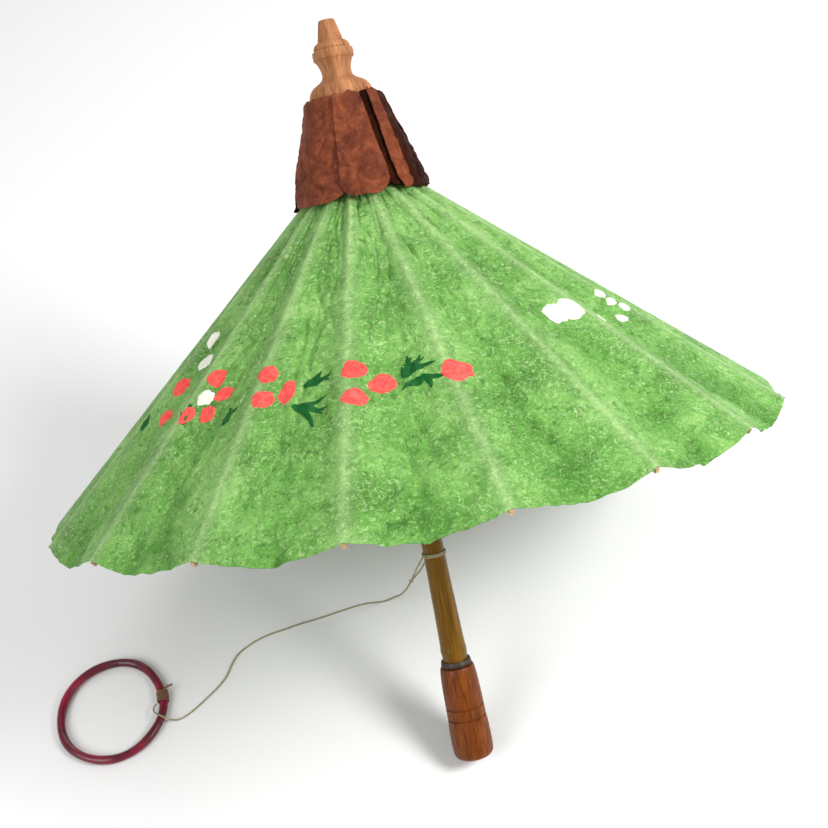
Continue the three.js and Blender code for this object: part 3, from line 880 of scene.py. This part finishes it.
def make_canopy():
    # The underside's copy of the paper is darker: painted shade.
    papers = [paper_material("oiled_green_paper", 1.0), paper_material("green_paper_underside_shaded", SHADED_UNDERSIDE)]
    paints = [
        paint_material("coral_paint", (0.83, 0.060, 0.055), (0.90, 0.14, 0.11)),
        paint_material("white_paint", (0.88, 0.86, 0.78), (0.70, 0.74, 0.55)),
        paint_material("dark_green_paint", (0.002, 0.072, 0.012), (0.010, 0.13, 0.022)),
    ]
    for rib in range(RIBS):
        PAPER_GRIDS[rib] = paper_grid(rib)
    for rib in range(RIBS):
        paper_segment(rib, papers)
        painted_patches(rib, paints)


# ------------------------------------------------------------------ brown paper cap

# Flaps round the cap. The middle and half width are in degrees from the side that faces up. Layers go
# from 0, under the others, to 2, over them. Stand is how far the edge towards +X stands off. Drift is how
# many degrees round the lower end has gone, and taper is how much of its width is left there.
FLAPS = [
    {"middle": -42, "half": 34, "layer": 1, "stand": 0, "drift": 0, "taper": 1},
    {"middle": 6, "half": 20.5, "layer": 2, "stand": 0, "drift": 0, "taper": 1},
    {"middle": 44, "half": 7.5, "layer": 2, "stand": 3.5, "drift": -6, "taper": 0.6},
    {"middle": 64, "half": 42, "layer": 0, "stand": 2.0, "drift": 0, "taper": 1},
    {"middle": 125, "half": 27, "layer": 2, "stand": 0, "drift": 0, "taper": 1},
    {"middle": 165, "half": 30, "layer": 1, "stand": 0, "drift": 0, "taper": 1},
    {"middle": 208, "half": 27, "layer": 2, "stand": 1.5, "drift": 0, "taper": 1},
    {"middle": 251, "half": 40, "layer": 0, "stand": 0, "drift": 0, "taper": 1},
]
CAP_TOP = HEAD_TOP + 1
CAP_TOP_RADIUS = 23.9
CAP_SLOPE = math.tan(math.radians(17.6))
CAP_LENGTH = 66
CORNER_CUT = 8
LAYER_STEP = 1.3
FLAP_THICKNESS = 0.55
FLAP_COLUMNS = 44
FLAP_ROWS = 64


def flap_point(flap, seed, u, v, outwards):
    """A point of a flap, from u across it, v down it, and the distance outwards from its inner side."""
    side = 2 * u - 1
    corner = abs(side) ** 4
    length = CAP_LENGTH - CORNER_CUT * corner + 1.2 * wave(side * 2, seed, 0.0)
    height = CAP_TOP - length * v + (2.2 * wave(side * 2.4, seed, 4.0) - 1.5 * corner) * (1 - v)
    half = flap["half"] * (0.93 + 0.07 * v) * (1 + (flap["taper"] - 1) * v)
    angle = polar(flap["middle"] + flap["drift"] * v + side * half)
    radius = CAP_TOP_RADIUS + flap["layer"] * LAYER_STEP + (CAP_TOP - height) * CAP_SLOPE + outwards
    # All flaps share these creases, so that none cuts through the one under it.
    shared = 1.3 * wave_round(angle, 2.4, height / 24, 1.0) + 0.9 * wave_round(angle, 5.0, height / 9, 5.0)
    shared -= 1.3 * ridge(wave_round(angle, 3.0, height / 14, 3.0), 0.2)
    shared -= 0.9 * ridge(wave_round(angle, 6.0, height / 7, 7.0), 0.25)
    own = 0.6 * wave(side * 2.5, v * 7, seed) * (1 - side ** 2)
    radius += (shared + 0.6) * (0.3 + 0.7 * v) + max(own, -0.2) * (0.4 + 0.6 * v)
    radius += flap["stand"] * u * u * (0.35 + 0.65 * v)
    return around(radius, angle, height)


def make_cap():
    outer = brown_paper_material("crinkled_brown_paper", 1.0)
    # The darker copy is painted shade, for the flaps of layer 0 that lie under the others.
    inner = brown_paper_material("brown_paper_painted_shade", SHADED_FLAP)
    faces, _ = shell_faces(FLAP_COLUMNS, FLAP_ROWS)
    for number, flap in enumerate(FLAPS, 1):
        points = []
        for outwards in (FLAP_THICKNESS, 0.0):
            for j in range(FLAP_ROWS + 1):
                for i in range(FLAP_COLUMNS + 1):
                    points.append(flap_point(flap, number * 2.3, i / FLAP_COLUMNS, j / FLAP_ROWS, outwards))
        material = outer if flap["layer"] else inner
        piece = new_piece(f"cap_paper_{number}", points, faces, [material], "shaft")
        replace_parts(piece, f"cap_flap_{number}")


# ------------------------------------------------------------------ turned pieces

# Profiles are of (radius, height). Those in smooth_profile are curves, and the others have sharp edges.


def make_finial():
    material = grained("pale_turned_wood", (0.27, 0.100, 0.038), (0.56, 0.26, 0.115), 0.55,
                       coat=0.0, stretch=0.12, scale=900, depth=0.0002)
    shoulder = smooth_profile([
        (20.3, 454.4), (20.8, 457), (19.6, 460.5), (17, 463.5), (13, 465.8), (10.4, 468), (9.7, 471),
        (10.0, 474), (11.0, 477), (12.2, 479.3),
    ])
    bead = [(12.9, 479.8), (13.3, 480.2), (13.4, 483), (13.2, 485.3), (12.2, 485.7), (11.5, 486.0)]
    lip = smooth_profile([(11.5, 486.2), (11.9, 487.0), (11.4, 488.8), (10.0, 490.2), (8.9, 490.9)])
    spire = [
        (8.3, 491.1), (8.2, 491.9), (7.4, 495.5), (6.3, 500), (5.5, 503.6), (5.2, 504.4), (4.7, TIP_HEIGHT),
    ]
    piece = turned_piece("turned_finial", shoulder + bead + lip + spire, material)
    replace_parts(piece, "finial")


def make_handle():
    material = grained("red_brown_wood", (0.085, 0.018, 0.002), (0.27, 0.070, 0.008), 0.42,
                       coat=0.1, stretch=0.10, scale=800, depth=0.0003)
    rounding = 4.5
    turns = [k * math.pi / 16 for k in range(9)]
    edge = [(9.3 + rounding * math.sin(a), rounding - rounding * math.cos(a)) for a in turns]
    lower = smooth_profile([*edge, (14.1, 9), (14.0, 20), (13.6, 27)], 3)
    groove = [(13.4, 28.6), (12.6, 29.0), (12.6, 29.8), (13.4, 30.2)]
    between = [(13.3, 33), (13.3, 36.6), (12.5, 37.0), (12.5, 37.8), (13.25, 38.2)]
    upper = smooth_profile([(13.2, 40), (12.9, 52), (12.2, 62), (11.6, 65.2), (10.9, 66), (7.4, 66)], 3)
    piece = turned_piece("turned_handle", lower + groove + between + upper, material)
    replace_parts(piece, "handle")


def make_shaft():
    material = grained("olive_bamboo", (0.090, 0.042, 0.001), (0.26, 0.125, 0.008), 0.26,
                       coat=0.15, stretch=0.04, scale=600, depth=0.0002)
    profile = smooth_profile([
        (7, 30), (7, 66.3), (8.7, 66.4), (8.6, 70), (8.75, 74), (9.05, 78), (8.75, 80.5), (8.4, 90),
        (7.9, 115), (7.4, 140), (7.2, 200), (7.1, 316), (7.45, 318), (7.1, 320), (7.0, 448),
    ], 3)
    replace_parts(turned_piece("bamboo_shaft", profile, material), "shaft")


# ------------------------------------------------------------------ twine

TWINE_RADIUS = 0.6
# Each of the two plies of a twine, the length of one full turn of them, and the spacing of its points.
PLY_RADIUS = 0.42
TWIST = 3.4
TWINE_STEP = 0.45
SHAFT_RADIUS_AT_TIE = 7.35
KNOT = (-19.7, 25.4, 123.8)
RING_CENTRE = Vector((-257.6, 92.8, 3.35))
RING_RADIUS_AT_LASHING = 38.5
LASHING_TURNS = 6
# From the middle of the cane to the middle of the twine round it, and how far down that can go on the floor.
LASHING_RADIUS = 4.0
LASHING_LOWEST = -2.65
# From under the knot, down to the floor, along it and up over the ring to its lashing, as X, Y and Z of
# the row frame in millimetres, with Y counted from the end of the handle.
CORD_ROUTE = [
    (-20.6, 103.5, 78.4), (-23.6, 103, 73), (-26.4, 105, 66), (-29.9, 107, 59), (-33.3, 112, 50),
    (-36, 121.3, 34), (-38.3, 130.5, 18), (-42, 137, 6), (-48.5, 140, 0.7), (-60, 141, 0.7),
    (-72, 140, 0.7), (-96, 136.5, 0.7), (-111.5, 135, 0.7), (-123.5, 133, 0.7), (-134, 131.5, 0.7),
    (-146.5, 128, 0.7), (-160, 120.5, 0.7), (-166.5, 112, 0.7), (-170.5, 104, 0.7), (-177, 96.5, 0.7),
    (-187.5, 88, 0.7), (-197, 81, 0.7), (-204.5, 77, 0.7), (-210.5, 75.5, 1.4), (-216.5, 76.5, 5),
    (-220.5, 78.5, 7.8), (-225, 82.5, 6.6), (-226, 87, 4.6), (-223.8, 90.5, 4),
]
LASHING_TAIL = [(-217.5, 99.5, 7.6), (-214.5, 101, 7.2), (-212.6, 102.8, 5.4), (-211.8, 104.4, 3.2)]


def from_handle(point):
    """A point in millimetres along the row frame's axes, with Y counted from the end of the handle."""
    return Vector(point) * MM + Vector((0, ORIGIN.y, 0))


def twine_through(points):
    return twine(points, PLY_RADIUS * MM, TWIST * MM)


def lashing_parts():
    """Turns of twine round the ring's cane, with a short tail."""
    parts = []
    for turn in range(LASHING_TURNS):
        angle = math.radians(-1.2 + turn * 2.1)
        out = Vector((math.cos(angle), math.sin(angle), 0))
        middle = RING_CENTRE + out * RING_RADIUS_AT_LASHING
        loop = []
        for k in range(20):
            a = 2 * math.pi * k / 20
            height = max(math.sin(a) * LASHING_RADIUS, LASHING_LOWEST)
            loop.append(from_handle(middle + out * math.cos(a) * LASHING_RADIUS + Vector((0, 0, height))))
        parts.append(tube(loop, TWINE_RADIUS * MM, 6, closed=True))
    path, _ = smooth_path([from_handle(point) for point in LASHING_TAIL], 0.5 * MM)
    parts.append(twine_through(path))
    return parts


def tie_parts():
    """Two turns of twine round the shaft, two strands from them to the knot, and the knot."""
    radius = SHAFT_RADIUS_AT_TIE + TWINE_RADIUS
    parts = []
    for height in (TIE_HEIGHT - 0.1, TIE_HEIGHT + 1.1):
        turns = [2 * math.pi * k / 48 for k in range(49)]
        parts.append(twine_through([around(radius, a, height + 0.3 * math.sin(a)) for a in turns]))
    for degrees, bow in ((112, (1, 0.4, -1)), (146, (-1, 1, -1))):
        angle = math.radians(degrees)
        start = (radius * math.cos(angle), radius * math.sin(angle), TIE_HEIGHT)
        middle = tuple((a + b) / 2 + c for a, b, c in zip(start, KNOT, bow))
        strand, _ = smooth_path([world(*start), world(*middle), world(*KNOT)], TWINE_STEP * MM)
        parts.append(twine_through(strand))
    knot_centre = world(*KNOT)
    for tilt in (0.0, 1.1, 2.1):
        loop = []
        for k in range(16):
            a = 2 * math.pi * k / 16
            offset = Vector((math.cos(a), math.sin(a) * math.cos(tilt), math.sin(a) * math.sin(tilt)))
            loop.append(knot_centre + offset * MM)
        parts.append(tube(loop, 0.55 * MM, 6, closed=True))
    return parts


def make_twine():
    """The loose cord, its tie on the shaft and its lashing on the ring. Also the cord's path and length."""
    cord_material = twine_material("olive_twine", (0.19, 0.16, 0.08), (0.52, 0.47, 0.30))
    lash_material = twine_material("brown_twine", (0.10, 0.035, 0.018), (0.30, 0.15, 0.08))
    path, length = smooth_path([from_handle(point) for point in CORD_ROUTE], TWINE_STEP * MM)
    made = []
    for name, node_name, (vertices, faces), material in (
        ("loose_twine", "cord", twine_through(path), cord_material),
        ("twine_tie", "cord_tie", joined(tie_parts()), cord_material),
        ("twine_lashing", "ring_lashing", joined(lashing_parts()), lash_material),
    ):
        piece = new_piece(name, vertices, faces, [material], "shaft")
        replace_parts(piece, node_name)
        made.append(piece)
    return (*made, path, length)


# ------------------------------------------------------------------ pieces kept from the frame


def finish_frame_pieces():
    split = object_grained("split_bamboo", (0.33, 0.21, 0.09), (0.62, 0.45, 0.22), 0.6, 160)
    dark_split = object_grained("stretcher_bamboo", (0.28, 0.17, 0.07), (0.55, 0.38, 0.18), 0.6, 170)
    hub = object_grained("cut_hub_wood", (0.26, 0.15, 0.07), (0.5, 0.33, 0.16), 0.7, 120)
    thread = twine_material("hinge_thread", (0.30, 0.24, 0.12), (0.6, 0.5, 0.3))
    collar = spotted("dark_collar", (0.012, 0.006, 0.004), (0.05, 0.022, 0.012), 0.5, 300)
    steel = spotted("spring_steel", (0.30, 0.27, 0.22), (0.6, 0.58, 0.54), 0.35, 200, metallic=1.0)
    finishes = {"head": hub, "runner": hub, "head_thread": thread, "runner_thread": thread,
                "collar": collar, "catch_spring": steel, "ring": lacquer_material()}
    for index in range(1, RIBS + 1):
        finishes[f"rib_{index:02d}"] = split
        finishes[f"stretcher_{index:02d}"] = dark_split
    for name, material in finishes.items():
        for material_slot in frame["nodes"][name].material_slots:
            material_slot.material = material


make_camera()
cord, tie, lashing, cord_path, cord_length = make_twine()
make_studio()
finish_frame_pieces()
make_shaft()
make_handle()
make_finial()
make_cap()
make_canopy()
